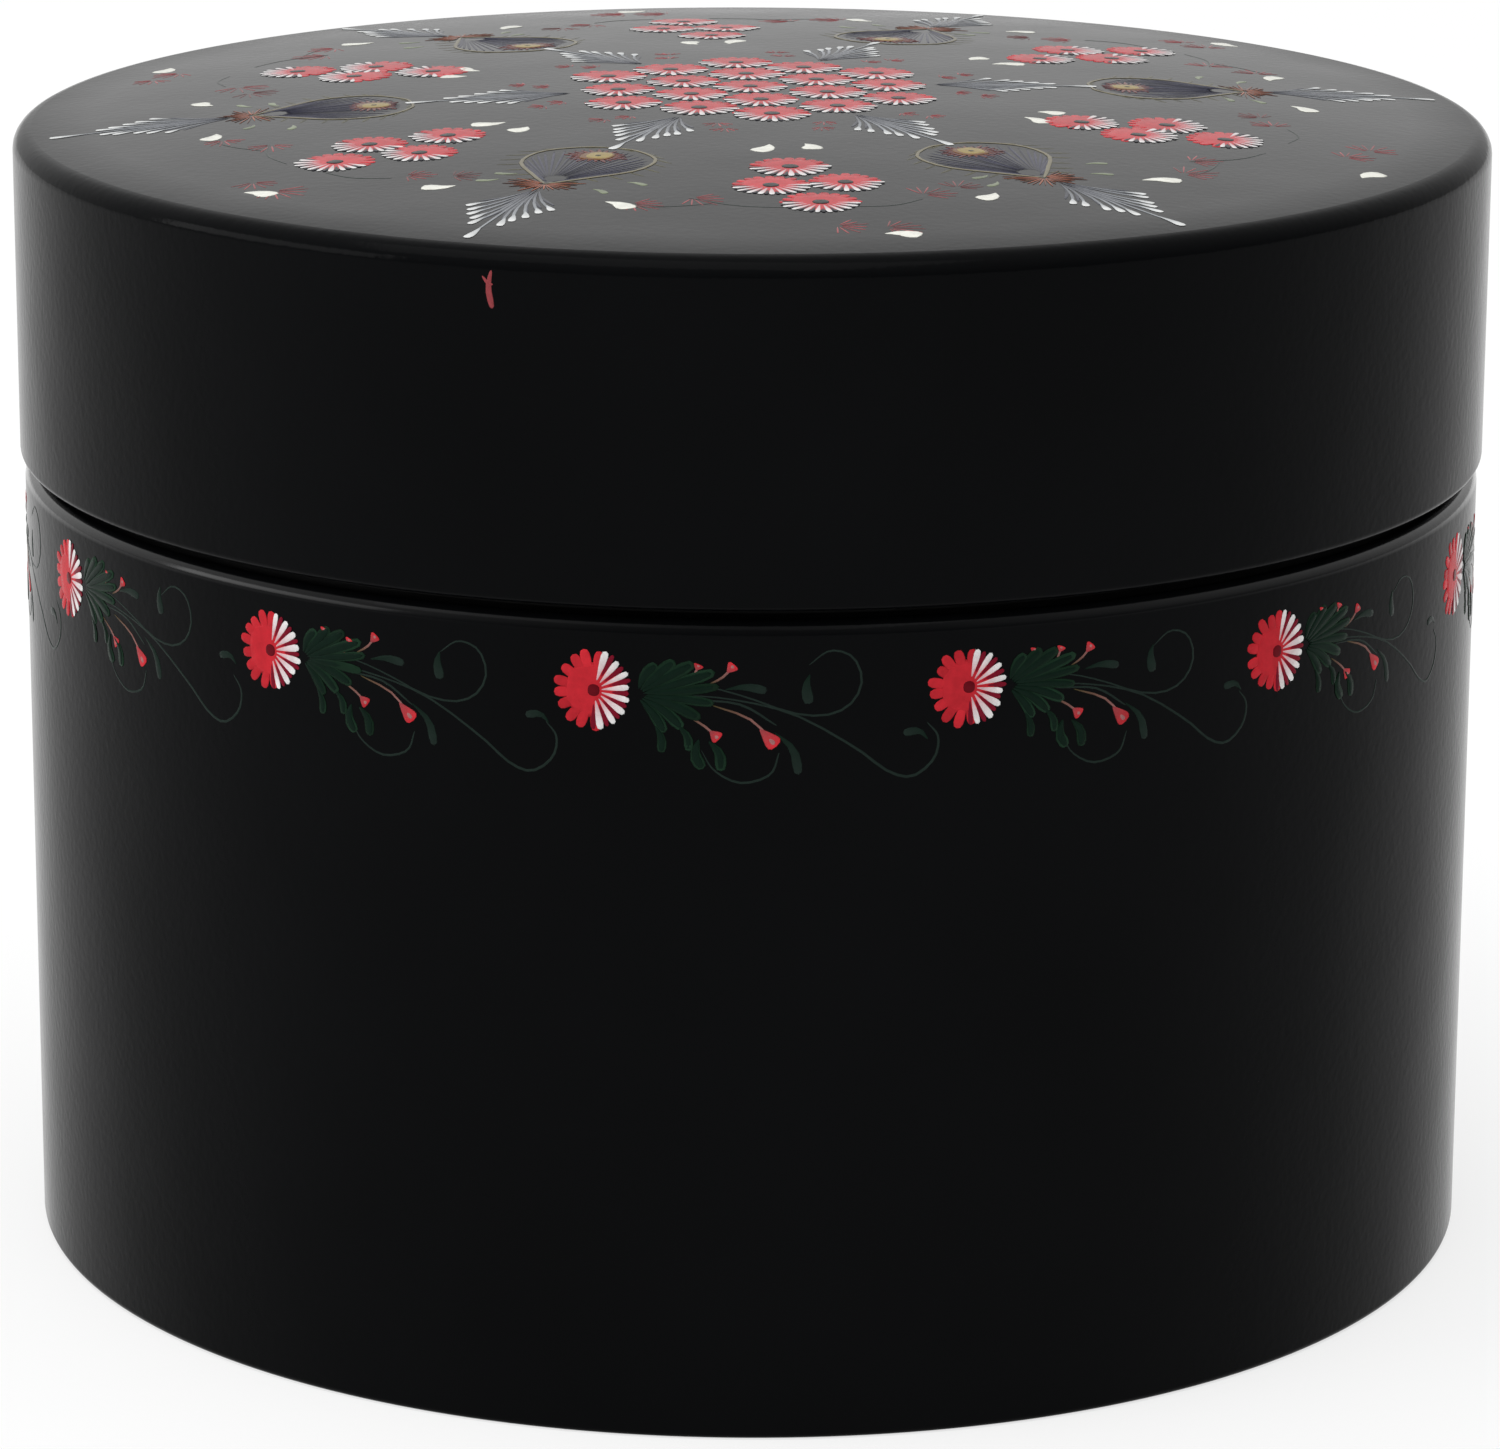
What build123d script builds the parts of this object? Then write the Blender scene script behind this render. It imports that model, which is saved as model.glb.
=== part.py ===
# Round lidded box of lacquered wood.
# A bent outer hoop and a taller inner liner make the body wall; the liner stands proud as the neck
# that the lid slides over. Base board and lid board are let into their hoops and held by bamboo pegs.
# Millimetres, +Z up, origin at the centre of the circle that the box stands on.
import os

from build123d import *

# Lid hoop and lid board
lid_radius = 100.0  # outside of the lid
lid_wall = 4.6  # thickness of the lid hoop
lid_height = 44.0  # from the lower edge of the hoop up to the rim of the board
lid_board_edge = 5.0  # thickness of the board where it shows above the hoop
lid_board_step = 4.0  # how deep the board is let into the hoop
lid_crown = 4.5  # rise of the top from its rim to its centre
lid_seat_width = 8.0  # flat ring under the board that rests on the neck
lid_dish = 3.5  # depth of the hollow turned in the underside of the board
lid_rim_round = 2.5  # radius of the upper outer edge
lid_lip_round = 1.0  # radius of the lower edges of the hoop

# Body hoop, liner and base board
body_inset = 0.6  # how far the body wall stands in from the lid wall
body_height = 107.3  # from the table up to the shoulder
shoulder_gap = 1.3  # open line between the shoulder and the lid
shoulder_round = 2.0  # radius of the upper outer edge of the body hoop
foot_round = 1.0  # radius of the lower outer edge of the body hoop
neck_clearance = 0.35  # radial play between the neck and the lid hoop
liner_wall = 3.5  # thickness of the inner liner
liner_round = 1.0  # radius of the two upper edges of the liner
base_thickness = 8.0
base_recess = 1.0  # how far the base board is set up from the table

# Bamboo pegs, driven through a hoop into the edge of its board
peg_count = 12
peg_cover = 0.8  # ground and lacquer over the outer end of each peg
lid_peg_radius = 1.0
lid_peg_length = 15.0
base_peg_radius = 1.25
base_peg_length = 16.0

# Radii and heights that follow from the sizes above
lid_bore = lid_radius - lid_wall
body_radius = lid_radius - body_inset
neck_radius = lid_bore - neck_clearance
liner_bore = neck_radius - liner_wall
base_top = base_recess + base_thickness
lid_low = body_height + shoulder_gap
lid_rim = lid_low + lid_height
lid_hoop_top = lid_rim - lid_board_edge
neck_top = lid_hoop_top - lid_board_step
dish_radius = lid_bore - lid_seat_width
lid_peg_height = lid_hoop_top - lid_board_step / 2
base_peg_height = base_recess + base_thickness / 2


def radial_pegs(outer_radius, height, radius, length, mode=Mode.ADD):
    """A ring of pegs that point at the axis, with their outer ends under the surface of a hoop."""
    with Locations((0, 0, height)):
        with PolarLocations(outer_radius - peg_cover - length / 2, peg_count):
            Cylinder(radius, length, rotation=(0, 90, 0), mode=mode)


# Body hoop: the outer wall, which the box stands on
with BuildPart() as body_hoop:
    with BuildSketch(Plane.XZ):
        with Locations((neck_radius, 0)):
            wall = Rectangle(body_radius - neck_radius, body_height, align=(Align.MIN, Align.MIN))
        outer_corners = wall.vertices().group_by(Axis.X)[-1].sort_by(Axis.Y)
        fillet(outer_corners[0], foot_round)
        fillet(outer_corners[-1], shoulder_round)
    revolve(axis=Axis.Z)
    radial_pegs(body_radius, base_peg_height, base_peg_radius, base_peg_length, Mode.SUBTRACT)
body_hoop.part.label = "body_hoop"

# Liner: the inner hoop, from the base board up to the underside of the lid
with BuildPart() as neck_liner:
    with BuildSketch(Plane.XZ):
        with Locations((liner_bore, base_top)):
            wall = Rectangle(liner_wall, neck_top - base_top, align=(Align.MIN, Align.MIN))
        fillet(wall.vertices().group_by(Axis.Y)[-1], liner_round)
    revolve(axis=Axis.Z)
neck_liner.part.label = "neck_liner"

# Base board: a disc let into the foot of the body hoop, under the liner
with BuildPart() as base_board:
    with Locations((0, 0, base_recess)):
        Cylinder(neck_radius, base_thickness, align=(Align.CENTER, Align.CENTER, Align.MIN))
    radial_pegs(body_radius, base_peg_height, base_peg_radius, base_peg_length, Mode.SUBTRACT)
base_board.part.label = "base_board"

# Base pegs: they hold the base board in the body hoop
with BuildPart() as base_pegs:
    radial_pegs(body_radius, base_peg_height, base_peg_radius, base_peg_length)
base_pegs.part.label = "base_pegs"

# Lid hoop: the side wall of the lid
with BuildPart() as lid_hoop:
    with BuildSketch(Plane.XZ):
        with Locations((lid_bore, lid_low)):
            wall = Rectangle(lid_wall, lid_hoop_top - lid_low, align=(Align.MIN, Align.MIN))
        fillet(wall.vertices().group_by(Axis.Y)[0], lid_lip_round)
    revolve(axis=Axis.Z)
    radial_pegs(lid_radius, lid_peg_height, lid_peg_radius, lid_peg_length, Mode.SUBTRACT)
lid_hoop.part.label = "lid_hoop"

# Lid board: a turned disc, crowned above and dished below, that sits on the lid hoop
with BuildPart() as lid_board:
    with BuildSketch(Plane.XZ):
        with BuildLine():
            TangentArc((0, neck_top + lid_dish), (dish_radius, neck_top), tangent=(1, 0))
            Line((dish_radius, neck_top), (lid_bore, neck_top))
            Line((lid_bore, neck_top), (lid_bore, lid_hoop_top))
            Line((lid_bore, lid_hoop_top), (lid_radius, lid_hoop_top))
            Line((lid_radius, lid_hoop_top), (lid_radius, lid_rim))
            TangentArc((0, lid_rim + lid_crown), (lid_radius, lid_rim), tangent=(1, 0))
            Line((0, lid_rim + lid_crown), (0, neck_top + lid_dish))
        section = make_face()
        rim_corner = section.vertices().group_by(Axis.X)[-1].sort_by(Axis.Y)[-1]
        fillet(rim_corner, lid_rim_round)
    revolve(axis=Axis.Z)
    radial_pegs(lid_radius, lid_peg_height, lid_peg_radius, lid_peg_length, Mode.SUBTRACT)
lid_board.part.label = "lid_board"

# Lid pegs: they hold the board in the lid hoop
with BuildPart() as lid_pegs:
    radial_pegs(lid_radius, lid_peg_height, lid_peg_radius, lid_peg_length)
lid_pegs.part.label = "lid_pegs"

os.makedirs("parts", exist_ok=True)
for piece in (body_hoop, neck_liner, base_board, base_pegs, lid_hoop, lid_board, lid_pegs):
    export_step(piece.part, f"parts/{piece.part.label}.step")
    print(piece.part.label, round(piece.part.volume), "mm3", piece.part.is_valid)
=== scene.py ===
import math
import random

import bmesh
import bpy
from mathutils import Matrix, Vector


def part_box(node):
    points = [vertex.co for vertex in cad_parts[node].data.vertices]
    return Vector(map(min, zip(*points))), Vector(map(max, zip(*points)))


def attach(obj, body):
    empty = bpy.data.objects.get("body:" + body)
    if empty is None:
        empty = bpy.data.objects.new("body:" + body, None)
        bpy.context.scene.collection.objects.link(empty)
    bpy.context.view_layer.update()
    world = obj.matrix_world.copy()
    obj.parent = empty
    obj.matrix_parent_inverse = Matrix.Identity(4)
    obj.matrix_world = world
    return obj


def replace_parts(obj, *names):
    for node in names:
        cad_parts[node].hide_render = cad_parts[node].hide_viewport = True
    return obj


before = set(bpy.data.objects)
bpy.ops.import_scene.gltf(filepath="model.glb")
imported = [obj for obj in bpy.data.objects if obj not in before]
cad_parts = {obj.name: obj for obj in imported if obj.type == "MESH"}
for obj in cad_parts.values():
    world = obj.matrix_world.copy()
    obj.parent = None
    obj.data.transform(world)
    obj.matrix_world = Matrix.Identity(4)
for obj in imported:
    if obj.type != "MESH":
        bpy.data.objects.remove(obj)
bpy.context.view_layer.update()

# The round lacquered box: turned shells in place of the faceted CAD rings, and the brushed
# ornament. Metres, +Z up, the box stands on z = 0 and its front faces -Y.

MM = 0.001
TURN_STEPS = 240  # straight sides of a turned ring, fine enough for a polished surface
ROUND_STEPS = 6  # facets of a rounded corner
CREASE = math.radians(35)  # an edge that folds more than this is shaded sharp
TOUCHING = 1e-7  # points nearer than this are one point
ON_CIRCLE = 1e-6  # how near a point lies to the circle that it belongs to

# Sizes that the frame gives
LID_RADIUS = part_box("lid_hoop")[1][0]
LID_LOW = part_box("lid_hoop")[0][2]
LID_HOOP_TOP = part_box("lid_hoop")[1][2]
LID_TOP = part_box("lid_board")[1][2]
BOARD_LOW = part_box("lid_board")[0][2]
BODY_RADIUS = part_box("body_hoop")[1][0]
BODY_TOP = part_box("body_hoop")[1][2]
NECK_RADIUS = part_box("neck_liner")[1][0]
NECK_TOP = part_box("neck_liner")[1][2]
BASE_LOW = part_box("base_board")[0][2]
BASE_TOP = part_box("base_board")[1][2]

# Sizes of the same pieces that a box can't give
LID_CROWN = 4.5 * MM
LID_WALL = 4.6 * MM
LINER_WALL = 3.5 * MM
BOARD_SEAT = 8.0 * MM
BOARD_DISH = 3.5 * MM
RIM_ROUND = 2.5 * MM
LIP_ROUND = 1.0 * MM
SHOULDER_ROUND = 2.0 * MM
FOOT_ROUND = 1.0 * MM
LID_RIM = LID_TOP - LID_CROWN
LID_BORE = LID_RADIUS - LID_WALL
LINER_BORE = NECK_RADIUS - LINER_WALL
DOME_RADIUS = (LID_RADIUS**2 + LID_CROWN**2) / (2 * LID_CROWN)

# Camera, fitted to the photograph: places in lid radii, angles in radians, the lens in pixels.
# The lens was then lengthened from the fitted 6341, as the outline came out a little small.
PHOTO_WIDTH = 1500
FOCAL_PIXELS = 6388
SENSOR_WIDTH = 36.0
CAMERA_BACK = 8.594
CAMERA_UP = 1.476
CAMERA_PITCH = 0.2646
CAMERA_ROLL = 0.004

# Refraction indices: polished lacquer and enamel, satin lacquer inside, and the varnish.
# The first was tuned to the photograph's brightness and lies well under a real lacquer's 1.5.
LACQUER_IOR = 1.11
INNER_IOR = 1.30
VARNISH_IOR = 1.5

# Lacquer and enamel colours, linear
LACQUER_BLACK = (0.0011, 0.0012, 0.0014)
INNER_BLACK = (0.0040, 0.0038, 0.0036)
BLACK = (0.001, 0.001, 0.001)
NIGHT = (0.004, 0.003, 0.010)
RED = (0.49, 0.020, 0.030)
BRIGHT_RED = (0.54, 0.022, 0.032)
DEEP_RED = (0.17, 0.006, 0.018)
DARK_RED = (0.12, 0.004, 0.009)
DULL_RED = (0.27, 0.050, 0.056)
MAROON = (0.14, 0.030, 0.032)
BURNT_ORANGE = (0.27, 0.085, 0.045)
ROSE = (0.34, 0.14, 0.14)
PINK = (0.58, 0.32, 0.35)
WHITE = (0.78, 0.79, 0.78)
CREAM = (0.80, 0.80, 0.73)
SOFT_WHITE = (0.34, 0.36, 0.38)
FEATHER_GREY = (0.060, 0.063, 0.080)
WASH_GREY = (0.012, 0.013, 0.018)
YELLOW = (0.30, 0.22, 0.060)
AMBER = (0.16, 0.070, 0.022)
GOLD = (0.17, 0.15, 0.095)
RUST = (0.12, 0.040, 0.024)
BLUE_GREY = (0.022, 0.022, 0.046)
PALE_GREEN = (0.20, 0.23, 0.15)
LEAF_GREEN = (0.009, 0.026, 0.014)
DARK_GREEN = (0.004, 0.013, 0.007)
SHADE_GREEN = (0.004, 0.013, 0.008)
VINE_GREEN = (0.013, 0.022, 0.018)
OLIVE = (0.046, 0.042, 0.014)

# Bamboo: its fibres from dark to pale, and the clouds over them
FIBRE_DARK = (0.34, 0.22, 0.09)
FIBRE_PALE = (0.62, 0.47, 0.24)
BAMBOO_CLOUD = (0.40, 0.28, 0.12)


class Maths:
    """A shader value, so that an expression adds the Math nodes that work it out."""

    def __init__(self, tree, socket):
        self.tree = tree
        self.socket = socket

    def combine(self, operation, first, second):
        node = self.tree.nodes.new("ShaderNodeMath")
        node.operation = operation
        for socket, value in zip(node.inputs, (first, second)):
            if isinstance(value, Maths):
                self.tree.links.new(value.socket, socket)
            else:
                socket.default_value = value
        return Maths(self.tree, node.outputs[0])

    def __add__(self, other):
        return self.combine("ADD", self, other)

    def __sub__(self, other):
        return self.combine("SUBTRACT", self, other)

    def __rsub__(self, other):
        return self.combine("SUBTRACT", other, self)

    def __mul__(self, other):
        return self.combine("MULTIPLY", self, other)

    def clamped(self):
        value = self + 0.0
        value.socket.node.use_clamp = True
        return value

    __radd__ = __add__
    __rmul__ = __mul__


class Nodes:
    """A node tree whose nodes are added by type, with settings first and sockets after."""

    def __init__(self, tree):
        self.tree = tree

    def node(self, kind, settings=(), **sockets):
        node = self.tree.nodes.new("ShaderNode" + kind)
        for name, value in dict(settings).items():
            setattr(node, name, value)
        for name, value in sockets.items():
            self.feed(node.inputs[name.replace("_", " ")], value)
        return node

    def feed(self, socket, value):
        if isinstance(value, Maths):
            value = value.socket
        if isinstance(value, bpy.types.NodeSocket):
            self.tree.links.new(value, socket)
        else:
            socket.default_value = value

    def value(self, socket):
        return Maths(self.tree, socket)


class Finish(Nodes):
    """One material, with its shader and the patterns that vary it."""

    def __init__(self, name):
        self.material = bpy.data.materials.new(name)
        self.material.use_nodes = True
        super().__init__(self.material.node_tree)
        self.shader = self.tree.nodes["Principled BSDF"]

    def noise(self, scale, detail=2.0, roughness=0.5):
        node = self.node("TexNoise", Scale=scale, Detail=detail, Roughness=roughness)
        self.feed(node.inputs["Vector"], self.place)
        return self.value(node.outputs["Fac"])

    def axis(self, name):
        """One coordinate of the shaded point: Z is its height above the table."""
        axes = self.node("SeparateXYZ")
        self.feed(axes.inputs["Vector"], self.place)
        return self.value(axes.outputs[name])

    @property
    def place(self):
        node = self.tree.nodes.get("place") or self.node("TexCoord", {"name": "place"})
        return node.outputs["Object"]

    def mix(self, factor, first, second):
        node = self.node("Mix", {"data_type": "RGBA"})
        self.feed(node.inputs["Factor"], factor)
        for name, value in (("A", first), ("B", second)):
            colour_socket = [s for s in node.inputs if s.name == name and s.type == "RGBA"][0]
            self.feed(colour_socket, value)
        return [s for s in node.outputs if s.type == "RGBA"][0]

    def bump(self, height, distance, strength=1.0):
        node = self.node("Bump", Strength=strength, Distance=distance)
        self.feed(node.inputs["Height"], height)
        self.feed(self.shader.inputs["Normal"], node.outputs["Normal"])

    def set(self, **sockets):
        for name, value in sockets.items():
            self.feed(self.shader.inputs[name.replace("_", " ")], value)


def rgba(colour):
    return (*colour, 1.0)


POLISHED = 0.10  # roughness of the polished lacquer where nothing dulls it
SATIN = 0.30
POLISHED_WAVES = 0.45  # how much the surface swells, against the depth of its bumps
SATIN_WAVES = 0.20
PEEL = 0.05  # the same for its orange peel
LACQUER_BUMPS = 0.6 * MM
SMUDGES = 0.10  # roughness that smudges add
CLOUD_GAIN = 2.2  # how much brighter the tint is in its palest clouds


def lacquer(name, gloss, waviness, tint, ior):
    """Black lacquer: nearly black, faintly uneven in depth and polish, with a fine orange peel."""
    finish = Finish(name)
    clouds = finish.noise(24.0, detail=3.0)
    smudges = finish.noise(55.0, detail=4.0, roughness=0.6)
    peel = finish.noise(900.0, detail=1.0)
    swell = finish.noise(38.0, detail=1.0)
    palest = tuple(CLOUD_GAIN * c for c in tint)
    finish.set(
        Base_Color=finish.mix(clouds, rgba(tint), rgba(palest)),
        Roughness=gloss + SMUDGES * smudges,
    )
    finish.shader.inputs["IOR"].default_value = ior
    finish.bump(peel * PEEL + swell * waviness, LACQUER_BUMPS)
    return finish


def varnished(finish, weight, roughness):
    """Adds a clear coat over a finish: a varnish, or on the body's shoulder a painted sheen."""
    finish.set(Coat_Weight=weight)
    finish.shader.inputs["Coat IOR"].default_value = VARNISH_IOR
    finish.shader.inputs["Coat Roughness"].default_value = roughness
    return finish.material


# Where the varnish lies and how thick it is was tuned to the photograph's brightness
CROWN_FADE = 1.1 / MM  # how fast the varnish thickens with height over the rim
SHOULDER_FADE = 1.5 / MM
TOP_VARNISH = 0.19
UNEVEN_VARNISH = 0.17
# The coat on the body's shoulder is a painted sheen: it puts reflections at the shoulder's left and
# right
SHOULDER_SHEEN = 0.9
ENAMEL_VARNISH = 0.26
VARNISH_ROUGHNESS = 0.12
SHOULDER_ROUGHNESS = 0.16


def crown(finish):
    """1 on the crown of the lid, down to 0 at its rim and below."""
    return ((finish.axis("Z") - LID_RIM) * CROWN_FADE).clamped()


def lid_top_lacquer():
    """The lid's top, under an uneven varnish that ends at the rim."""
    finish = lacquer("varnished_lacquer", POLISHED, POLISHED_WAVES, LACQUER_BLACK, LACQUER_IOR)
    uneven = finish.noise(16.0, detail=4.0, roughness=0.55)
    weight = crown(finish) * (TOP_VARNISH + UNEVEN_VARNISH * uneven)
    return varnished(finish, weight, VARNISH_ROUGHNESS)


def body_lacquer():
    """The body's wall, with a clear coat on its shoulder that grows towards the left and right: a
    painted sheen that puts reflections there.
    """
    finish = lacquer("lacquer_with_painted_sheen", POLISHED, POLISHED_WAVES, LACQUER_BLACK, LACQUER_IOR)
    shoulder_low = BODY_TOP - SHOULDER_ROUND
    shoulder = ((finish.axis("Z") - shoulder_low) * SHOULDER_FADE).clamped()
    across = finish.axis("X")
    # painted sheen: the coat grows with the square of X, so only the left and right of the shoulder
    # shine
    weight = shoulder * across * across * (SHOULDER_SHEEN / BODY_RADIUS**2)
    return varnished(finish, weight, SHOULDER_ROUGHNESS)


def enamel():
    """Brushed enamel under varnish: the colour of each stroke comes from the stroke itself."""
    finish = Finish("brushed_enamel")
    paint = finish.node("Attribute", {"attribute_name": "paint"}).outputs["Color"]
    load = finish.noise(700.0, detail=3.0, roughness=0.65)
    thin_spots = (load * 1.6 - 0.55) * 0.35
    finish.set(
        Base_Color=finish.mix(thin_spots, paint, rgba(BLACK)),
        Roughness=0.16 + 0.16 * load,
    )
    finish.shader.inputs["IOR"].default_value = LACQUER_IOR
    finish.bump(load, 0.05 * MM, strength=0.5)
    return varnished(finish, crown(finish) * ENAMEL_VARNISH, VARNISH_ROUGHNESS)


def bamboo():
    """Split bamboo: straw coloured, with a fine fibre-like noise."""
    finish = Finish("split_bamboo")
    fibres = finish.noise(420.0, detail=4.0, roughness=0.7)
    clouds = finish.noise(60.0)
    straw = finish.mix(fibres, rgba(FIBRE_DARK), rgba(FIBRE_PALE))
    finish.set(
        Base_Color=finish.mix(clouds * 0.4, straw, rgba(BAMBOO_CLOUD)),
        Roughness=0.5 + 0.2 * fibres,
    )
    finish.bump(fibres, 0.2 * MM, strength=0.6)
    return finish.material


side_lacquer = lacquer(
    "black_lacquer", POLISHED, POLISHED_WAVES, LACQUER_BLACK, LACQUER_IOR
).material
sheened_body_lacquer = body_lacquer()
top_lacquer = lid_top_lacquer()
inner_lacquer = lacquer("inner_lacquer", SATIN, SATIN_WAVES, INNER_BLACK, INNER_IOR).material
enamel_paint = enamel()
bamboo_wood = bamboo()


def new_piece(bm, name, material, body):
    """A finished mesh as an object at the origin, with its finish and the body that carries it."""
    mesh = bpy.data.meshes.new(name)
    bm.to_mesh(mesh)
    bm.free()
    piece = bpy.data.objects.new(name, mesh)
    bpy.context.scene.collection.objects.link(piece)
    mesh.materials.append(material)
    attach(piece, body)
    return piece


def turned(name, outline, rounds, material, body):
    """A ring or disc turned from a closed outline of (radius, height) points, with rounded corners.

    rounds pairs a corner's place in the outline with the radius of its rounding.
    """
    bm = bmesh.new()
    points = [bm.verts.new((r, 0, z)) for r, z in outline]
    edges = [bm.edges.new(pair) for pair in zip(points, points[1:] + points[:1])]
    axis_edges = [e for e in edges if all(abs(v.co.x) < TOUCHING for v in e.verts)]
    bmesh.ops.delete(bm, geom=axis_edges, context="EDGES")
    profile = list(bm.verts) + list(bm.edges)
    bmesh.ops.spin(
        bm, geom=profile, cent=(0, 0, 0), axis=(0, 0, 1), angle=2 * math.pi,
        steps=TURN_STEPS, use_merge=True,
    )
    bmesh.ops.remove_doubles(bm, verts=bm.verts, dist=TOUCHING)
    for corner, radius in rounds:
        corner_r, corner_z = outline[corner]
        ring = [e for e in bm.edges if all(on_circle(v.co, corner_r, corner_z) for v in e.verts)]
        bmesh.ops.bevel(
            bm, geom=ring, offset=radius, offset_type="OFFSET", segments=ROUND_STEPS,
            profile=0.5, affect="EDGES", clamp_overlap=True, material=-1,
        )
    bmesh.ops.recalc_face_normals(bm, faces=bm.faces)
    for face in bm.faces:
        face.smooth = True
    for edge in bm.edges:
        edge.smooth = edge.calc_face_angle(0) < CREASE
    piece = new_piece(bm, name, material, body)
    normals = piece.modifiers.new("even normals", "WEIGHTED_NORMAL")
    normals.keep_sharp = True
    return piece


def on_circle(co, radius, height):
    """Whether a point lies on the level circle of this radius and height."""
    off_radius = abs(math.hypot(co.x, co.y) - radius)
    return off_radius < ON_CIRCLE and abs(co.z - height) < ON_CIRCLE


def stepped(start, end, count):
    """Points from start up to, but without, end, evenly spaced."""
    return [tuple(a + (b - a) * i / count for a, b in zip(start, end)) for i in range(count)]


def dome_height(radius):
    """Height of the lid's top at a distance from the axis."""
    return LID_TOP - DOME_RADIUS + math.sqrt(DOME_RADIUS**2 - radius**2)


# Turned shells
def body_hoop():
    low_inside = (NECK_RADIUS, 0)
    low_outside = (BODY_RADIUS, 0)
    top_outside = (BODY_RADIUS, BODY_TOP)
    top_inside = (NECK_RADIUS, BODY_TOP)
    rows = 16
    outline = [low_inside]
    outline += stepped(low_outside, top_outside, rows) + stepped(top_outside, top_inside, 1)
    outline += stepped(top_inside, low_inside, rows)
    rounds = ((1, FOOT_ROUND), (1 + rows, SHOULDER_ROUND))
    return turned("turned_body_hoop", outline, rounds, sheened_body_lacquer, "body")


def neck_liner():
    low = BASE_TOP
    outline = stepped((LINER_BORE, low), (NECK_RADIUS, low), 1)
    rows = 18
    outline += stepped((NECK_RADIUS, low), (NECK_RADIUS, NECK_TOP), rows)
    outline += stepped((NECK_RADIUS, NECK_TOP), (LINER_BORE, NECK_TOP), 1)
    outline += stepped((LINER_BORE, NECK_TOP), (LINER_BORE, low), rows)
    rounds = ((1 + rows, LIP_ROUND), (2 + rows, LIP_ROUND))
    return turned("turned_neck_liner", outline, rounds, inner_lacquer, "body")


def base_board():
    rings = 12
    outline = stepped((0, BASE_LOW), (NECK_RADIUS, BASE_LOW), rings)
    outline += stepped((NECK_RADIUS, BASE_LOW), (NECK_RADIUS, BASE_TOP), 1)
    outline += stepped((NECK_RADIUS, BASE_TOP), (0, BASE_TOP), rings) + [(0, BASE_TOP)]
    return turned("turned_base_board", outline, (), inner_lacquer, "body")


def lid_hoop():
    rows = 8
    outline = stepped((LID_BORE, LID_LOW), (LID_RADIUS, LID_LOW), 1)
    outline += stepped((LID_RADIUS, LID_LOW), (LID_RADIUS, LID_HOOP_TOP), rows)
    outline += stepped((LID_RADIUS, LID_HOOP_TOP), (LID_BORE, LID_HOOP_TOP), 1)
    outline += stepped((LID_BORE, LID_HOOP_TOP), (LID_BORE, LID_LOW), rows)
    rounds = ((0, LIP_ROUND), (1, LIP_ROUND))
    return turned("turned_lid_hoop", outline, rounds, side_lacquer, "lid")


def lid_board():
    rings = 40
    seat = LID_BORE - BOARD_SEAT
    dish_radius = (seat**2 + BOARD_DISH**2) / (2 * BOARD_DISH)
    dish_top = BOARD_LOW + BOARD_DISH
    outline = []
    for i in range(rings // 2):
        r = seat * 2 * i / rings
        outline.append((r, dish_top - dish_radius + math.sqrt(dish_radius**2 - r**2)))
    outline += [(seat, BOARD_LOW), (LID_BORE, BOARD_LOW), (LID_BORE, LID_HOOP_TOP)]
    outline += [(LID_RADIUS, LID_HOOP_TOP)]
    rim = len(outline)
    for i in range(rings + 1):
        r = LID_RADIUS * (1 - i / rings)
        outline.append((r, dome_height(r)))
    rounds = ((rim, RIM_ROUND),)
    return turned("turned_lid_board", outline, rounds, top_lacquer, "lid")


# Surfaces that are painted: a place in the flat drawing, and a lift above the lacquer
def on_lid_top(x, y, lift):
    r = math.hypot(x, y)
    drop = math.sqrt(DOME_RADIUS**2 - r**2)
    normal = Vector((x, y, drop)) / DOME_RADIUS
    return Vector((x, y, LID_TOP - DOME_RADIUS + drop)) + normal * lift


def on_body_side(x, z, lift):
    angle = x / BODY_RADIUS
    reach = BODY_RADIUS + lift
    return Vector((reach * math.sin(angle), -reach * math.cos(angle), z))


def on_lid_side(x, z, lift):
    angle = x / LID_RADIUS
    reach = LID_RADIUS + lift
    return Vector((reach * math.sin(angle), -reach * math.cos(angle), z))


def along(points, t):
    """A place on the smooth line through the points, and its direction there."""
    spans = len(points) - 1
    span = min(int(t * spans), spans - 1)
    u = t * spans - span
    b, c = points[span], points[span + 1]
    a = points[span - 1] if span else b * 2 - c
    d = points[span + 2] if span + 2 < len(points) else c * 2 - b
    bend = a * 2 - b * 5 + c * 4 - d
    twist = b * 3 - a - c * 3 + d
    place = (b * 2 + (c - a) * u + bend * u**2 + twist * u**3) / 2
    heading = (c - a + bend * 2 * u + twist * 3 * u**2) / 2
    return place, heading


PAINT_DEPTH = 0.055 * MM
HAIRLINE_DEPTH = 0.4  # share of that depth that the finest stroke still has
FLAT_TOP = 0.6  # power that squares up a stroke's section; 1 would leave it round
ROUND_END = 0.7  # power that rounds off a stroke's ends
AT_TIP = 1e-6  # a point of the ball nearer to its axis than this is one of its tips


def boxy(value):
    """Squares up a circle's sine or cosine, which flattens the top of a stroke."""
    return math.copysign(abs(value) ** FLAT_TOP, value)


BALLS = {}


def ball(rings):
    """A fresh unit ball to shape into a touch of paint."""
    if rings not in BALLS:
        BALLS[rings] = bmesh.new()
        BALLS[rings].verts.layers.float_color.new("paint")
        bmesh.ops.create_uvsphere(BALLS[rings], u_segments=8, v_segments=rings, radius=1.0)
    return BALLS[rings].copy()


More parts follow.
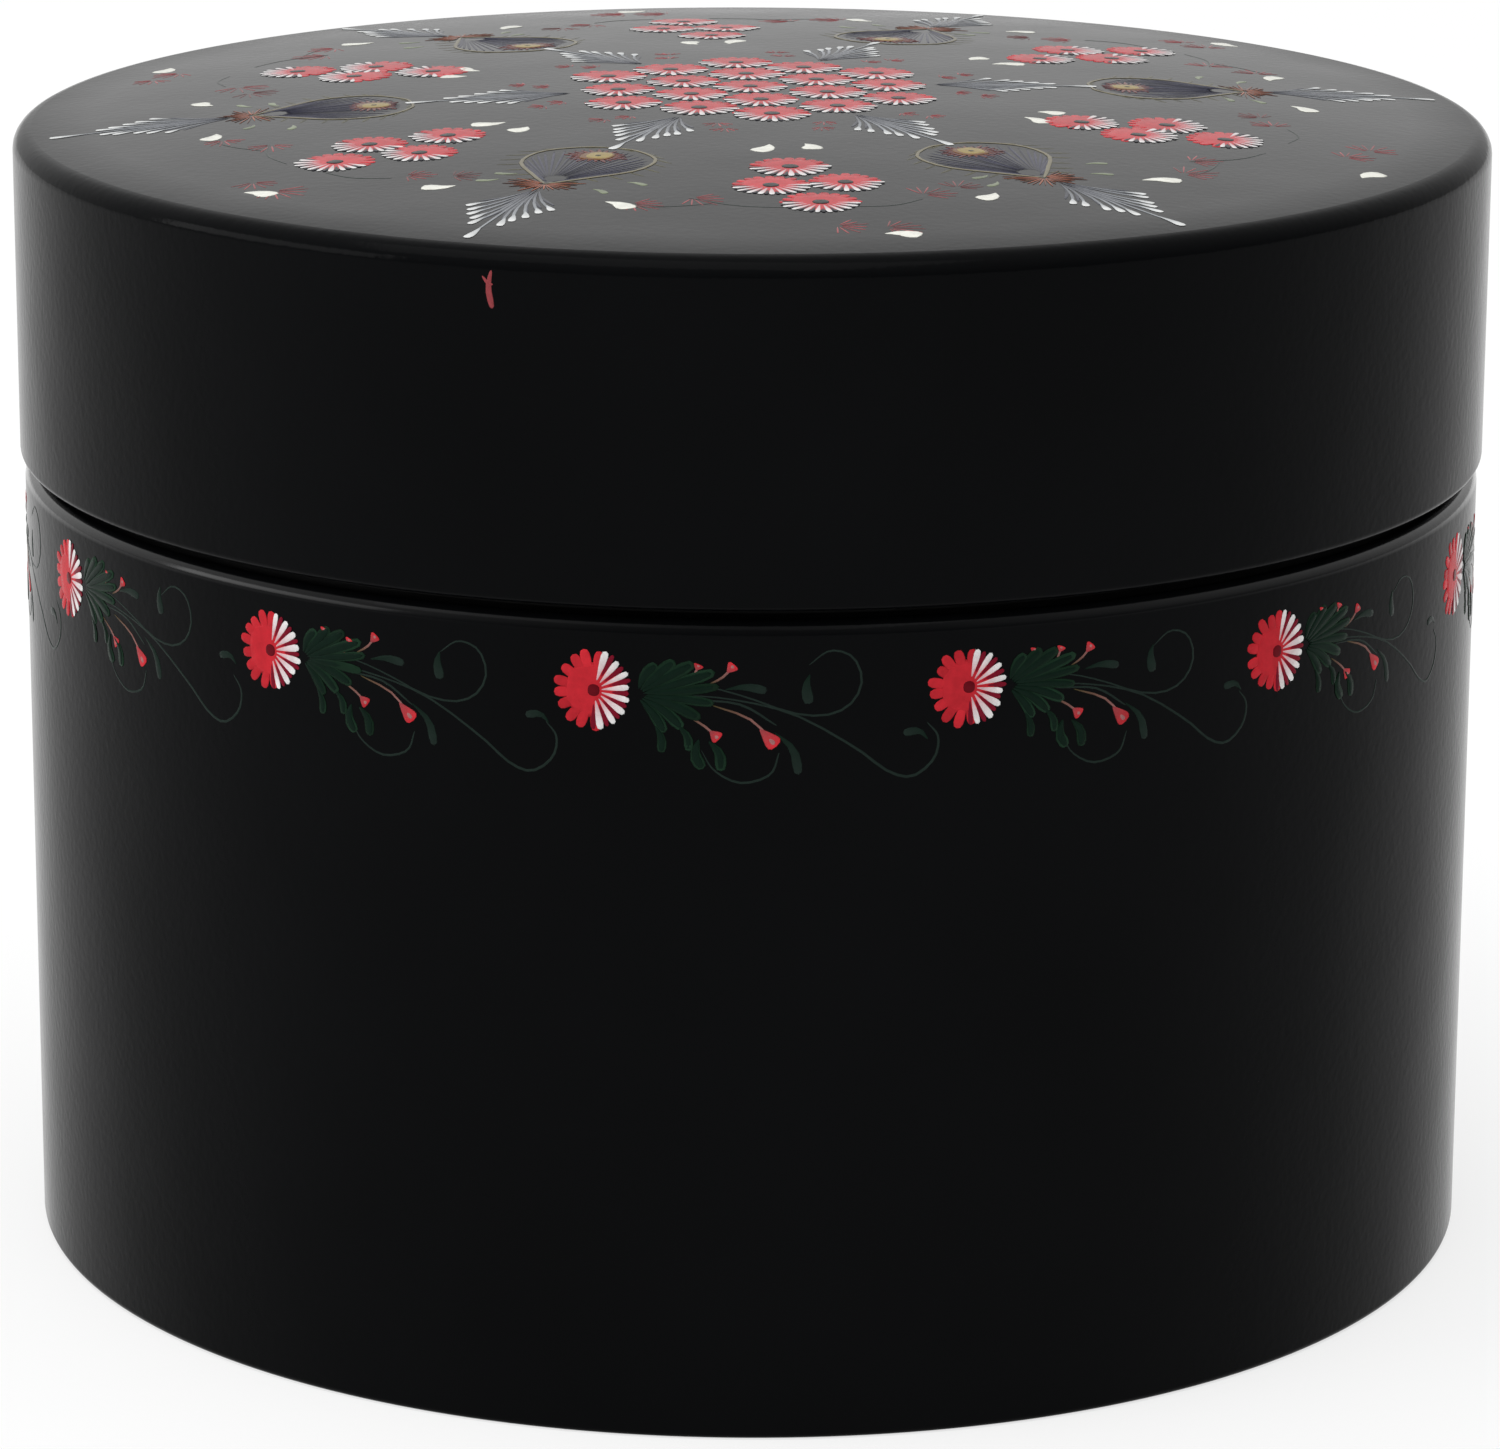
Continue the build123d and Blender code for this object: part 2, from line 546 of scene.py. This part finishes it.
class Painting:
    """Brush strokes on one surface, gathered in one piece. Drawings are in millimetres."""

    def __init__(self, name, surface, body, seed):
        self.name = name
        self.surface = surface
        self.body = body
        self.chance = random.Random(seed)
        self.bm = bmesh.new()
        self.touch = bpy.data.meshes.new(name + "_touch")
        self.at(0, 0, 0)

    def at(self, x, y, angle, size=1.0):
        """Moves, turns and scales the drawing that follows."""
        self.origin = Vector((x, y))
        self.turn = Matrix.Rotation(angle, 2)
        self.size = size

    def stroke(self, points, width, first, last=None, swell=(0.35, 1.0, 1.0), layer=0, rings=7):
        """One touch of the brush through the points, from its first colour to its last.

        swell is its width at the start, in the middle and at the end, as shares of width. layer
        is how many depths of paint it lies over.
        """
        last = last or first
        placed = [self.origin + self.turn @ (Vector(p) * self.size) for p in points]
        half = width * self.size / 2
        start, middle, end = swell
        touch = ball(rings)
        paint = touch.verts.layers.float_color["paint"]
        for vert in touch.verts:
            x, y, z = vert.co
            t = min(max((1 + z) / 2, 0.0), 1.0)
            out = math.hypot(x, y)
            place, heading = along(placed, t)
            side = Vector((-heading.y, heading.x)).normalized()
            body = start * (1 - t) ** 2 + 2 * middle * t * (1 - t) + end * t**2
            reach = half * body * out**ROUND_END
            across = up = 0.0
            if out > AT_TIP:
                across = boxy(x / out) * reach
                depth = min(1.0, HAIRLINE_DEPTH + reach)
                up = boxy(y / out) * depth * PAINT_DEPTH * min(1.0, 3 * out)
            spot = place + side * across
            vert.co = self.surface(spot.x * MM, spot.y * MM, up + layer * PAINT_DEPTH)
            colour = [a + (b - a) * t for a, b in zip(first, last)]
            vert[paint] = (*colour, 1.0)
        touch.to_mesh(self.touch)
        touch.free()
        self.bm.from_mesh(self.touch)

    def blob(self, x, y, radius, colour, layer=0):
        path = [(x - radius, y), (x, y), (x + radius, y)]
        self.stroke(path, 2 * radius, colour, swell=(1, 1, 1), layer=layer)

    def vary(self, colour, amount=0.12):
        shade = 1 + self.chance.uniform(-amount, amount)
        return tuple(min(1.0, c * shade) for c in colour)

    def wobble(self, amount):
        return self.chance.uniform(-amount, amount)

    def done(self):
        for face in self.bm.faces:
            face.smooth = True
        return new_piece(self.bm, self.name, enamel_paint, self.body)


def polar(radius, angle):
    return (radius * math.cos(angle), radius * math.sin(angle))


def daisy(painting, x, y, facing, radius, petals, petal_width, disc, lights, light_start,
          light_width, spread, front, gap_colour, eye, eye_colour, uneven):
    """A red flower: round petals on a disc, pale strokes fanned over one side, and a dark eye.

    front is how far the middle pale stroke reaches, against the outer ones. Lengths but the
    radius are shares of the radius.
    """
    painting.at(x, y, facing + painting.wobble(0.10), radius * (1 + painting.wobble(0.05)))
    painting.blob(0, 0, disc, painting.vary(RED, 0.06), layer=0.4)
    for i in range(petals):
        angle = 2 * math.pi * (i + 0.5 + painting.wobble(0.12)) / petals - math.pi
        under = abs(angle) < spread + 0.5 / petals
        reach = 0.92 * front if under else 1 + painting.wobble(uneven)
        colour = painting.vary(gap_colour if under else RED, 0.16)
        painting.stroke([polar(0.35, angle), polar(reach, angle)], petal_width, colour,
                        swell=(0.3, 0.9, 1.0), layer=0.2 * (i % 2))
    step = 2 * spread / (lights - 1)
    for i in range(lights):
        angle = step * i - spread
        start = light_start * (1 + 0.35 * abs(angle))
        reach = front + (1 - front) * abs(angle / spread) + painting.wobble(0.05)
        width = light_width * (1 + painting.wobble(0.15))
        painting.stroke([polar(start, angle), polar(reach, angle)], width, PINK, WHITE,
                        swell=(0.3, 0.7, 1.5), layer=1.1)
        dark = angle - step / 2
        gap = [polar(1.3 * start, dark), polar(0.99 * reach, dark)]
        painting.stroke(gap, 0.8 * light_width, gap_colour, swell=(0.3, 0.9, 1.3), layer=0.8)
    painting.blob(0, 0, eye, eye_colour, layer=1.3)


def comma(painting, x, y, angle, length, width, colour=CREAM, layer=0.0):
    """A single comma stroke: a fat round head that trails off in a curved tail."""
    painting.at(x, y, angle)
    path = [(0, 0), (0.45 * length, 0.125 * length), (length, 0)]
    painting.stroke(path, width, colour, swell=(0.10, 0.75, 1.45), layer=layer)


BARBS = 5  # on each side of a feather


def feather(painting, root, length, width, angle):
    """A fan of fine grey barbs that end in white dabs, round a long middle stroke."""
    painting.at(*root, angle)
    for side in (-1, 1):
        for i in range(BARBS):
            u = i / (BARBS - 1)
            end = Vector((length * (0.40 + 0.35 * u), side * width * (0.52 - 0.36 * u)))
            end += Vector((painting.wobble(0.4), painting.wobble(0.25)))
            start = Vector((length * (0.02 + 0.07 * u), side * 0.03 * width))
            bend = start.lerp(end, 0.55) - Vector((0, side * 0.055 * width))
            painting.stroke([start, bend, end], 0.5, FEATHER_GREY, painting.vary(SOFT_WHITE, 0.2),
                            swell=(0.5, 0.9, 1.0), layer=0.3, rings=8)
            dab = bend.lerp(end, 0.45)
            painting.stroke([dab, dab.lerp(end, 0.5), end], 1.05, painting.vary(SOFT_WHITE, 0.2),
                            WHITE, swell=(0.2, 0.7, 1.45), layer=0.8)
            wash = Vector((end.x - 0.10 * length, end.y - side * 0.06 * width))
            sag = start.lerp(wash, 0.5) - Vector((0, side * 0.07 * width))
            painting.stroke([start, sag, wash], 0.7, WASH_GREY, FEATHER_GREY,
                            swell=(0.5, 1, 0.8), layer=0.1)
    painting.stroke([(0, 0), (0.45 * length, 0), (0.9 * length, 0)], 0.5, FEATHER_GREY, SOFT_WHITE,
                    swell=(0.6, 0.9, 0.8), layer=0.5, rings=9)
    painting.stroke([(0.78 * length, 0), (0.9 * length, 0.1), (length, 0)], 1.25, SOFT_WHITE, WHITE,
                    swell=(0.2, 0.6, 1.5), layer=0.9)


HATCHES = 18  # in each half of a drop
BRISTLES = 12  # outside each half
EYE_RAYS = 22
BURST_RAYS = 23
BURST_START = -121  # degrees, from there in steps of BURST_STEP
BURST_STEP = 11


def drop(painting, root, length, width, angle):
    """A paisley drop: a thin gold line round hatching, a golden eye, and a burst at its point."""
    painting.at(*root, angle)
    half = width / 2
    edge = [(length, 0), (0.80 * length, 0.42 * half), (0.52 * length, 0.92 * half),
            (0.22 * length, 0.92 * half), (0.03 * length, 0.42 * half), (0, 0)]
    point = Vector((0.94 * length, 0))
    for side in (-1, 1):
        outline = [Vector((x, side * y)) for x, y in edge]
        painting.stroke(outline, 0.62, painting.vary(GOLD), swell=(1.4, 0.5, 1.0), layer=0.6,
                        rings=26)
        for i in range(HATCHES):
            place, _ = along(outline, 0.12 + 0.84 * i / (HATCHES - 1))
            painting.stroke([point.lerp(place, 0.16), point.lerp(place, 0.92)], 0.46,
                            painting.vary(BLUE_GREY, 0.4), swell=(0.2, 1, 1), layer=0.1 * (i % 3))
        for i in range(BRISTLES):
            place, _ = along(outline, 0.04 + 0.90 * i / (BRISTLES - 1))
            outward = Vector((0.5, side)) * (3.0 + painting.wobble(0.6))
            painting.stroke([place, place + 0.9 * outward], 0.8, painting.vary(OLIVE, 0.3),
                            swell=(0.6, 1, 0.3), layer=-0.3)
    eye = 0.24 * length
    for i in range(EYE_RAYS):
        turn = 2 * math.pi * i / EYE_RAYS
        reach = 4.3 + painting.wobble(0.7)
        painting.stroke([(eye + 1.3 * math.cos(turn), 1.3 * math.sin(turn)),
                         (eye + 0.8 * reach * math.cos(turn), reach * math.sin(turn))], 0.7,
                        painting.vary(RUST, 0.3), MAROON, swell=(1, 1, 0.4), layer=0.4)
    painting.blob(eye, 0, 2.4, AMBER, layer=0.9)
    painting.blob(eye - 0.2, 0.2, 1.9, YELLOW, layer=1.2)
    painting.blob(eye, 0.1, 0.4, OLIVE, layer=1.9)
    for i in range(BURST_RAYS):
        turn = math.radians(BURST_START + BURST_STEP * i)
        reach = 3.6 + 1.3 * math.sin(turn) ** 2 + painting.wobble(1.2)
        tip = polar(reach, turn)
        colour = painting.vary(BURNT_ORANGE if i % 2 else RUST, 0.3)
        ray = [(length + 0.12 * tip[0], 0.12 * tip[1]), (length + tip[0], tip[1])]
        painting.stroke(ray, 0.34, colour, swell=(0.8, 1, 0.3), layer=0.6)


def spray(painting, x, y, angle, colour, reach=3.6, count=8, spread=1.1):
    """A small fern of short fine strokes that fan out from one foot."""
    painting.at(x, y, angle)
    for i in range(count):
        lean = spread * (2 * i / (count - 1) - 1)
        tip = polar(reach * (1 - 0.2 * abs(lean)) + painting.wobble(0.4), lean)
        painting.stroke([(0.15 * tip[0], 0.15 * tip[1]), tip], 0.32, painting.vary(colour, 0.4),
                        swell=(0.4, 1, 0.8))


# The medallion on the lid: a rosette, and round it six clusters with six drops between them.
# Their directions were marked on the photograph and rounded; hand-painted, they are a bit uneven.
# Distances are in millimetres from the lid's centre, and leans in degrees off the axis of a
# cluster or drop.

# Each cluster, in degrees: its axis, the side of its daisies that is pale, and its outer comma;
# then how far it is shifted outwards
CLUSTERS = (
    (-83.5, -84, 6.0, 0.0),
    (-25.0, -18, -4.0, -5.5),
    (39.0, -8, 3.0, -2.5),
    (98.0, -90, 4.0, -2.5),
    (160.0, -172, -1.0, -6.0),
    (-139.0, -118, 4.8, -2.5),
)
CLUSTER_DAISIES = ((53.9, -1.4), (64.2, -4.4), (63.8, 4.2), (73.6, 0.2))  # distance, lean
INNER_COMMA = 41.0  # distance of the two inner commas
INNER_COMMAS = ((-3.4, 4.8), (3.0, 3.6))  # lean, length
OUTER_COMMA = 90.5
CLUSTER_SPRAYS = (  # distance, lean, turn in radians, colour
    (71.5, -12.5, -0.6, DULL_RED),
    (75.5, -18.0, -0.4, DULL_RED),
    (71.5, 11.0, 0.9, DULL_RED),
    (85.0, 0.6, -0.2, DULL_RED),
    (86.5, 4.6, 0.2, DULL_RED),
    (69.0, 15.5, 1.2, MAROON),
)
CLUSTER_STEMS = (  # start, middle and end, each as distance and lean
    ((76, -3), (75, -8), (71.5, -13)),
    ((76, 3), (76, 7), (73.5, 10.5)),
    ((74, -10), (76, -14), (77, -18)),
)
DROPS = (-112.6, -57.0, 8.0, 68.0, 128.0, -169.0)  # their axes, in degrees
DROP_COMMAS = ((73.0, -8.2, -1.1, 4.4), (75.0, 8.4, 1.1, 4.8))  # distance, lean, turn, length
DROP_LEAVES = (  # distance, lean, turn in radians
    (67.6, -5.6, -1.0),
    (64.0, -5.0, -1.3),
    (69.0, 5.6, 1.0),
    (64.6, 8.4, 1.3),
)
DROP_SPRAYS = ((27.5, 13.0), (31.0, 16.0))  # distance, lean to either side
ROSETTE_TURN = math.radians(6.5)
DAISY_SPACING = 10.7
ROSETTE_DAISY = 5.3
TOP_DAISY = {
    "radius": 5.1, "petals": 19, "petal_width": 0.33, "disc": 0.80, "lights": 10,
    "light_start": 0.26, "light_width": 0.140, "spread": math.radians(84), "front": 1.0,
    "gap_colour": NIGHT, "eye": 0.21, "eye_colour": BLACK, "uneven": 0.03,
}


def rosette():
    painting = Painting("rosette_daisies", on_lid_top, "lid", 11)
    turn = Matrix.Rotation(ROSETTE_TURN, 2)
    for column in range(-2, 3):
        count = 5 - abs(column)
        for row in range(count):
            x = column * DAISY_SPACING * math.sqrt(3) / 2
            y = (row - (count - 1) / 2) * DAISY_SPACING
            x, y = turn @ Vector((x + painting.wobble(0.4), y + painting.wobble(0.4)))
            facing = math.radians(0.35 * x - 90)
            daisy(painting, x, y, facing, **{**TOP_DAISY, "radius": ROSETTE_DAISY})
    return painting.done()


def clusters():
    painting = Painting("cluster_daisies", on_lid_top, "lid", 23)
    marks = Painting("cluster_leaves", on_lid_top, "lid", 29)
    for direction, pale_side, comma_lean, shift in CLUSTERS:
        axis = math.radians(direction)
        for reach, lean in CLUSTER_DAISIES:
            x, y = polar(reach + shift + painting.wobble(0.6), axis + math.radians(lean))
            daisy(painting, x, y, math.radians(pale_side), **TOP_DAISY)
        for lean, length in INNER_COMMAS:
            x, y = polar(INNER_COMMA, axis + math.radians(lean))
            comma(marks, x, y, axis + math.radians(-8 + 6 * lean), length, 2.9)
        for reach, lean, angle, colour in CLUSTER_SPRAYS:
            x, y = polar(reach, axis + math.radians(lean))
            spray(marks, x, y, axis + angle + 1.4, colour, 4.6 + marks.wobble(0.9), 8, 1.3)
        for stem in CLUSTER_STEMS:
            marks.at(0, 0, 0)
            path = [polar(reach, axis + math.radians(lean)) for reach, lean in stem]
            marks.stroke(path, 0.3, VINE_GREEN, swell=(1, 1, 1), rings=9)
        x, y = polar(OUTER_COMMA + marks.wobble(1.5), axis + math.radians(comma_lean - 2))
        comma(marks, x, y, axis + 1.5 + marks.wobble(0.4), 4.6, 3.1)
    return painting.done(), marks.done()


def feather_drops():
    feathers = Painting("feather_fans", on_lid_top, "lid", 37)
    drops = Painting("paisley_drops", on_lid_top, "lid", 41)
    for direction in DROPS:
        axis = math.radians(direction)
        feather(feathers, polar(25.0, axis), 22.6, 10.6, axis)
        feather(feathers, polar(71.0, axis + 0.005), 24.6, 11.2, axis + 0.06)
        drop(drops, polar(46.6, axis), 21.6, 17.4, axis)
        for reach, lean, angle, length in DROP_COMMAS:
            x, y = polar(reach, axis + math.radians(lean))
            comma(drops, x, y, axis + angle, length + drops.wobble(0.7), 2.8, layer=0.4)
        for reach, lean, angle in DROP_LEAVES:
            x, y = polar(reach, axis + math.radians(lean))
            comma(drops, x, y, axis + angle, 3.2, 1.1, drops.vary(PALE_GREEN, 0.2))
        for side in (-1, 1):
            for reach, lean in DROP_SPRAYS:
                x, y = polar(reach, axis + math.radians(side * lean))
                spray(drops, x, y, axis + side * 0.35, DULL_RED, 2.6, 6)
    return feathers.done(), drops.done()


# The band round the body, just under the lid: thirteen sprigs, each from its flower to the next.
# Six of them show in the photograph; the others are guessed to follow at the same spacing.
# Each seen flower: its azimuth in degrees and how far it stands over the mean height of the band
SEEN_FLOWERS = (
    (-64.4, 0.3), (-37.5, -0.1), (-11.2, -0.2), (15.8, -0.1), (42.3, -1.1), (70.4, -0.9),
)
HIDDEN_FLOWERS = 7
BAND_HEIGHT = 98.3
BAND_DAISY = {
    "radius": 5.3, "petals": 17, "petal_width": 0.32, "disc": 0.70, "lights": 8,
    "light_start": 0.17, "light_width": 0.165, "spread": math.radians(76), "front": 0.92,
    "gap_colour": DEEP_RED, "eye": 0.15, "eye_colour": DARK_RED, "uneven": 0.07,
}

# Strokes of one sprig, in millimetres from its flower: three points, and a width
BUDS = (
    ((8.4, 1.8), (8.8, 3.0), (9.2, 4.2), 1.3),
    ((12.0, 1.6), (12.5, 2.8), (13.0, 4.0), 1.4),
    ((14.2, 1.2), (16.0, 2.2), (17.4, 3.8), 1.6),
    ((11.4, -2.6), (13.8, -4.0), (15.6, -5.6), 1.8),
    ((14.6, -1.4), (19.4, -3.2), (22.6, -6.6), 2.2),
)
LEAVES = (
    ((5.6, 0.6), (6.4, 2.4), (7.8, 3.8), 1.7),
    ((5.8, 0.4), (7.8, 2.4), (10.0, 4.4), 1.8),
    ((6.0, 0.2), (9.0, 2.2), (12.4, 4.2), 1.8),
    ((6.2, 0.0), (10.6, 1.6), (15.0, 3.2), 1.7),
    ((6.4, 0.0), (11.0, 0.6), (15.6, 1.4), 1.4),
    ((6.4, -0.2), (10.8, -0.4), (15.0, -0.8), 1.4),
    ((6.2, -0.4), (9.8, -1.2), (13.4, -2.8), 1.7),
    ((6.0, -0.6), (8.8, -2.0), (11.2, -4.2), 1.7),
    ((5.8, -0.8), (7.6, -2.6), (9.0, -4.8), 1.6),
    ((7.8, -4.0), (8.6, -5.6), (8.6, -7.4), 1.3),
    ((10.6, -3.8), (11.8, -5.2), (12.0, -7.0), 1.3),
    ((13.2, -5.4), (12.8, -7.4), (13.8, -9.2), 1.7),
    ((14.4, -5.6), (15.8, -7.2), (16.0, -9.4), 1.6),
)
SCROLL_LEAVES = (
    ((22.4, -4.2), (24.8, -6.4), (25.6, -9.6), 1.4),
    ((26.6, 3.2), (26.2, 1.6), (26.6, -0.6), 1.6),
    ((16.2, 1.0), (18.8, 1.4), (21.4, 1.0), 1.3),
    ((41.6, -5.2), (40.4, -4.1), (38.4, -4.3), 1.2),
)
# Each scroll: the width of its line, how many steps it is drawn in, and its points
SCROLLS = (
    (0.34, 30, ((7, 0.6), (13, 0.8), (18.6, -0.6), (24.4, -2.8), (28.8, -3.2), (31.8, -1.8),
                (33.1, 1.0), (32.0, 4.0), (29.2, 4.9), (26.6, 3.2))),
    (0.40, 32, ((8, -0.4), (16, -0.8), (24.4, -2.9), (32.0, -7.4), (36.0, -10.6), (39.2, -11.6),
                (42.0, -9.6), (42.6, -6.8), (41.2, -4.8))),
    (0.34, 20, ((13.2, -7.4), (14.8, -10.0), (18.0, -11.6), (21.6, -10.6), (22.8, -7.8))),
    (0.34, 12, ((12.0, -1.0), (18.0, -1.6), (22.6, -4.4))),
)


def flower_places():
    first, last = SEEN_FLOWERS[0][0], SEEN_FLOWERS[-1][0]
    gap = (360 + first - last) / (HIDDEN_FLOWERS + 1)
    hidden = [(last + gap * (i + 1), 0.0) for i in range(HIDDEN_FLOWERS)]
    return [(math.radians(azimuth), rise) for azimuth, rise in (*SEEN_FLOWERS, *hidden)]


def band():
    flowers = Painting("band_flowers", on_body_side, "body", 53)
    leaves = Painting("band_leaves", on_body_side, "body", 59)
    vines = Painting("band_vines", on_body_side, "body", 61)
    for azimuth, rise in flower_places():
        x = azimuth * BODY_RADIUS / MM
        z = BAND_HEIGHT + rise
        daisy(flowers, x, z, flowers.wobble(0.12), **BAND_DAISY)
        size = 1 + leaves.wobble(0.05)
        for foot, bend, head, width in BUDS:
            flowers.at(x, z, flowers.wobble(0.04), size)
            bud(flowers, Vector(foot), Vector(bend), Vector(head), width)
        sprig(leaves, vines, x, z, size)
    return flowers.done(), leaves.done(), vines.done()


def bud(painting, foot, bend, head, width):
    """A red bud on a fine stalk, with a pale touch on its head."""
    painting.stroke([foot, bend, head], 0.32, OLIVE, ROSE, swell=(0.8, 1, 1), layer=0.2, rings=8)
    tone = painting.vary(BRIGHT_RED, 0.2)
    painting.stroke([bend.lerp(head, 0.35), bend.lerp(head, 0.75), head], width, DULL_RED, tone,
                    swell=(0.2, 0.9, 1.2), layer=0.5)
    painting.stroke([bend.lerp(head, 0.72), bend.lerp(head, 0.92)], 0.3 * width, ROSE,
                    swell=(0.6, 1, 1), layer=1.2)


def leaf(painting, start, middle, end, width):
    """One leaf: a green stroke, with a darker one laid along its middle."""
    start, middle, end = Vector(start), Vector(middle), Vector(end)
    painting.stroke([start, middle, end], width, DARK_GREEN, painting.vary(LEAF_GREEN, 0.35),
                    swell=(0.3, 0.9, 1.2), layer=painting.chance.random())
    painting.stroke([start, middle, middle.lerp(end, 0.9)], 0.6 * width, SHADE_GREEN,
                    swell=(0.4, 1, 1.1), layer=1.2)


def sprig(leaves, vines, x, z, size):
    """The green of one flower: comma leaves close to it, and long scrolls towards the next."""
    leaves.at(x, z, leaves.wobble(0.05), size)
    for start, middle, end, width in LEAVES:
        leaf(leaves, start, middle, end, width)
    for start, middle, end, width in SCROLL_LEAVES:
        leaves.stroke([start, middle, end], width, SHADE_GREEN, VINE_GREEN, swell=(0.2, 0.6, 1.3))
    vines.at(x, z, vines.wobble(0.03), size)
    for width, steps, points in SCROLLS:
        vines.stroke(points, width, VINE_GREEN, swell=(0.6, 1.0, 1.0), layer=0.1, rings=steps)


STRAY_AZIMUTH = math.radians(-18.6)
STRAY_HEIGHT = 149.0


def stray_touch():
    """Two stray touches of red on the side of the lid."""
    painting = Painting("stray_red_touch", on_lid_side, "lid", 71)
    x = STRAY_AZIMUTH * LID_RADIUS / MM
    painting.at(x, STRAY_HEIGHT, 0)
    painting.stroke([(0.2, 1.2), (-0.2, -1.0), (0.3, -3.6)], 0.9, DULL_RED, swell=(0.6, 0.8, 1.2))
    painting.stroke([(-1.0, 0.4), (-0.3, -0.4), (0.4, -0.6)], 0.6, DULL_RED, swell=(0.5, 1, 0.6),
                    layer=0.2)
    return painting.done()


# Pieces
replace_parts(body_hoop(), "body_hoop")
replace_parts(neck_liner(), "neck_liner")
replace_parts(base_board(), "base_board")
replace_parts(lid_hoop(), "lid_hoop")
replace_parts(lid_board(), "lid_board")
for peg_node in ("base_pegs", "lid_pegs"):
    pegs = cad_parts[peg_node]
    pegs.data.materials.clear()
    pegs.data.materials.append(bamboo_wood)
rosette()
clusters()
feather_drops()
band()
stray_touch()


# Stage: a pale floor, a soft white surround and two broad lamps
FLOOR_REACH = 6.0
FLOOR_GREY = 0.88
FLOOR_GLOW = 1.04  # strength of the white that the camera and reflections see of the floor
GLOW_SHARE = 0.65  # how much of it they see; the rest keeps the shadow
ROOM_LIGHT = 0.45
ROOM_LEAN = (-0.12, 0.12, 0.80)
LIT_POINT = (0, 0, 0.12)  # where both lamps point


def floor():
    bm = bmesh.new()
    bmesh.ops.create_grid(bm, x_segments=1, y_segments=1, size=FLOOR_REACH)
    mesh = bpy.data.meshes.new("floor")
    bm.to_mesh(mesh)
    bm.free()
    plane = bpy.data.objects.new("floor", mesh)
    bpy.context.scene.collection.objects.link(plane)
    finish = Finish("pale_floor")
    finish.set(Base_Color=rgba((FLOOR_GREY, FLOOR_GREY, FLOOR_GREY)), Roughness=0.9)
    path = finish.node("LightPath").outputs
    seen = [finish.value(path[f"Is {kind} Ray"]) for kind in ("Camera", "Glossy", "Transmission")]
    glow = finish.node("Emission", Color=rgba((1, 1, 1)), Strength=FLOOR_GLOW)
    blend = finish.node("MixShader")
    finish.feed(blend.inputs["Fac"], (seen[0] + seen[1] + seen[2]).clamped() * GLOW_SHARE)
    finish.feed(blend.inputs[1], finish.shader.outputs["BSDF"])
    finish.feed(blend.inputs[2], glow.outputs["Emission"])
    finish.feed(finish.tree.nodes["Material Output"].inputs["Surface"], blend.outputs["Shader"])
    mesh.materials.append(finish.material)


def surround():
    """A soft white room, much brighter overhead and slightly so behind and on the left."""
    world = bpy.data.worlds.new("surround")
    bpy.context.scene.world = world
    world.use_nodes = True
    room = Nodes(world.node_tree)
    direction = room.node("TexCoord").outputs["Generated"]
    lean = room.node("VectorMath", {"operation": "DOT_PRODUCT"})
    room.feed(lean.inputs[0], direction)
    room.feed(lean.inputs[1], ROOM_LEAN)
    backdrop = room.tree.nodes["Background"].inputs
    room.feed(backdrop["Strength"], room.value(lean.outputs["Value"]) + ROOM_LIGHT)
    room.feed(backdrop["Color"], rgba((1, 1, 1)))


def softbox(name, place, target, width, height, power):
    light = bpy.data.lights.new(name, "AREA")
    light.shape = "RECTANGLE"
    light.size = width
    light.size_y = height
    light.energy = power
    lit = bpy.data.objects.new(name, light)
    lit.location = place
    lit.rotation_euler = (Vector(target) - Vector(place)).to_track_quat("-Z", "Y").to_euler()
    bpy.context.scene.collection.objects.link(lit)


def camera():
    lens = bpy.data.cameras.new("camera")
    lens.sensor_fit = "HORIZONTAL"
    lens.sensor_width = SENSOR_WIDTH
    lens.lens = SENSOR_WIDTH * FOCAL_PIXELS / PHOTO_WIDTH
    viewer = bpy.data.objects.new("camera", lens)
    forward = Vector((0, math.cos(CAMERA_PITCH), -math.sin(CAMERA_PITCH)))
    right = Vector((1, 0, 0))
    up = right.cross(forward)
    tilted_right = right * math.cos(CAMERA_ROLL) + up * math.sin(CAMERA_ROLL)
    tilted_up = up * math.cos(CAMERA_ROLL) - right * math.sin(CAMERA_ROLL)
    turn = Matrix((tilted_right, tilted_up, -forward)).transposed().to_4x4()
    place = Vector((0, -CAMERA_BACK * LID_RADIUS, LID_RIM + CAMERA_UP * LID_RADIUS))
    viewer.matrix_world = Matrix.Translation(place) @ turn
    bpy.context.scene.collection.objects.link(viewer)
    bpy.context.scene.camera = viewer


floor()
surround()
softbox("left_key", (-1.5, -0.35, 0.5), LIT_POINT, width=1.2, height=0.5, power=5.0)
softbox("overhead", (-0.25, -0.55, 1.25), LIT_POINT, width=1.6, height=0.9, power=5.0)
camera()
bpy.context.scene.view_settings.view_transform = "Standard"
